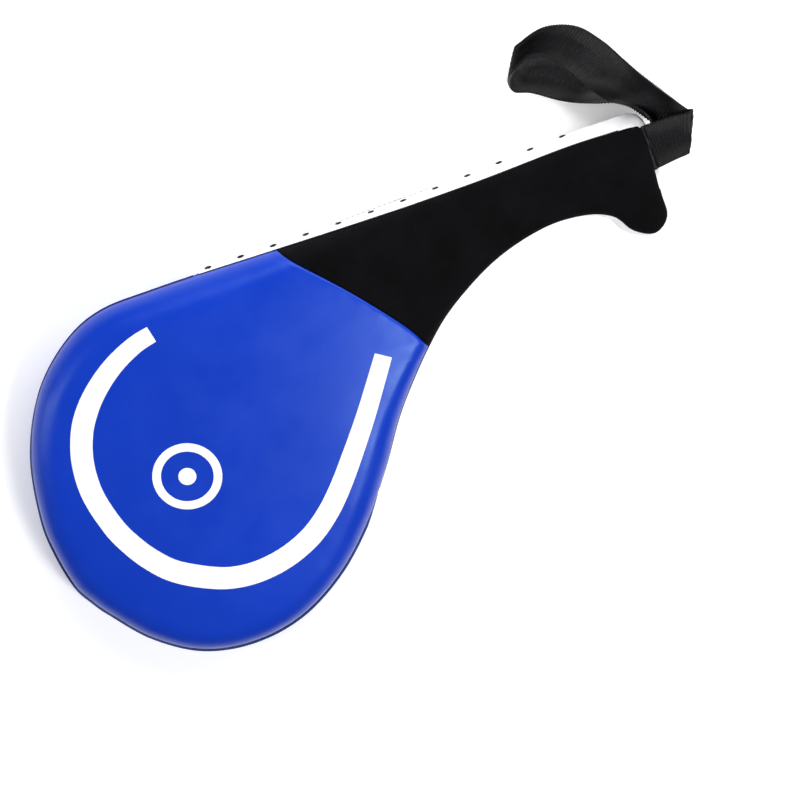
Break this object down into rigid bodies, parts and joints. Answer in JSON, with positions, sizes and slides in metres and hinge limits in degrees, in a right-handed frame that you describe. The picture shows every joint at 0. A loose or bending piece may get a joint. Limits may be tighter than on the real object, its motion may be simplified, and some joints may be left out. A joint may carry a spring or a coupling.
{
  "type": "double-blade kick paddle",
  "caption": "Hand-held martial arts target: padded twin blades that slap together, on a hooked suede handle with a vented gusset and a wrist loop.",
  "frame": {"origin": "on the rear striking face, under the middle of the blades, where the paddle rests when it is laid down", "axes": "+X from the handle to the blades' tip, +Z out of the front striking face, -Y to the spine side of the handle, away from the finger hook"},
  "size_m": [0.4423, 0.217, 0.0582],
  "materials": {
    "blue_leather": "semi-gloss polyurethane leather with a fine grain",
    "suede": "matt suede",
    "white_gusset": "smooth satin polyurethane leather",
    "foam": "closed-cell foam",
    "board": "flexible plastic board",
    "lining": "smooth polyurethane leather",
    "welt": "folded binding",
    "webbing": "ribbed woven webbing"
  },
  "bodies": {
    "handle": {"handle_core": "board", "front_grip_pad": "foam", "rear_grip_pad": "foam", "front_grip_panel": "suede", "rear_grip_panel": "suede", "front_throat_cover": "blue_leather", "rear_throat_cover": "blue_leather", "spine_gusset": "white_gusset", "finger_gusset": "white_gusset", "butt_gusset": "white_gusset", "strap_tab": "webbing"},
    "front_blade": {"front_face_cover": "blue_leather", "front_blade_pad": "foam", "front_inner_lining": "lining", "front_stiffener": "board", "front_edge_welt": "welt"},
    "rear_blade": {"rear_face_cover": "blue_leather", "rear_blade_pad": "foam", "rear_inner_lining": "lining", "rear_stiffener": "board", "rear_edge_welt": "welt"},
    "wrist_loop": {"wrist_strap": "webbing"}
  },
  "joints": [
    {"name": "front_blade_flex", "type": "hinge", "parent": "handle", "child": "front_blade", "pos_m": [-0.075, 0, 0.0423], "axis": [0, -1, 0], "range_deg": [-0.4, 15], "stiffness_Nm_per_rad": 6},
    {"name": "rear_blade_flex", "type": "hinge", "parent": "handle", "child": "rear_blade", "pos_m": [-0.075, 0, 0.0007], "axis": [0, 1, 0], "range_deg": [-0.4, 15], "stiffness_Nm_per_rad": 6},
    {"name": "strap_swing", "type": "hinge", "parent": "handle", "child": "wrist_loop", "pos_m": [-0.3016, 0.0131, 0.0341], "axis": [0.2631, 0.9648, 0], "range_deg": [-3, 45]}
  ]
}
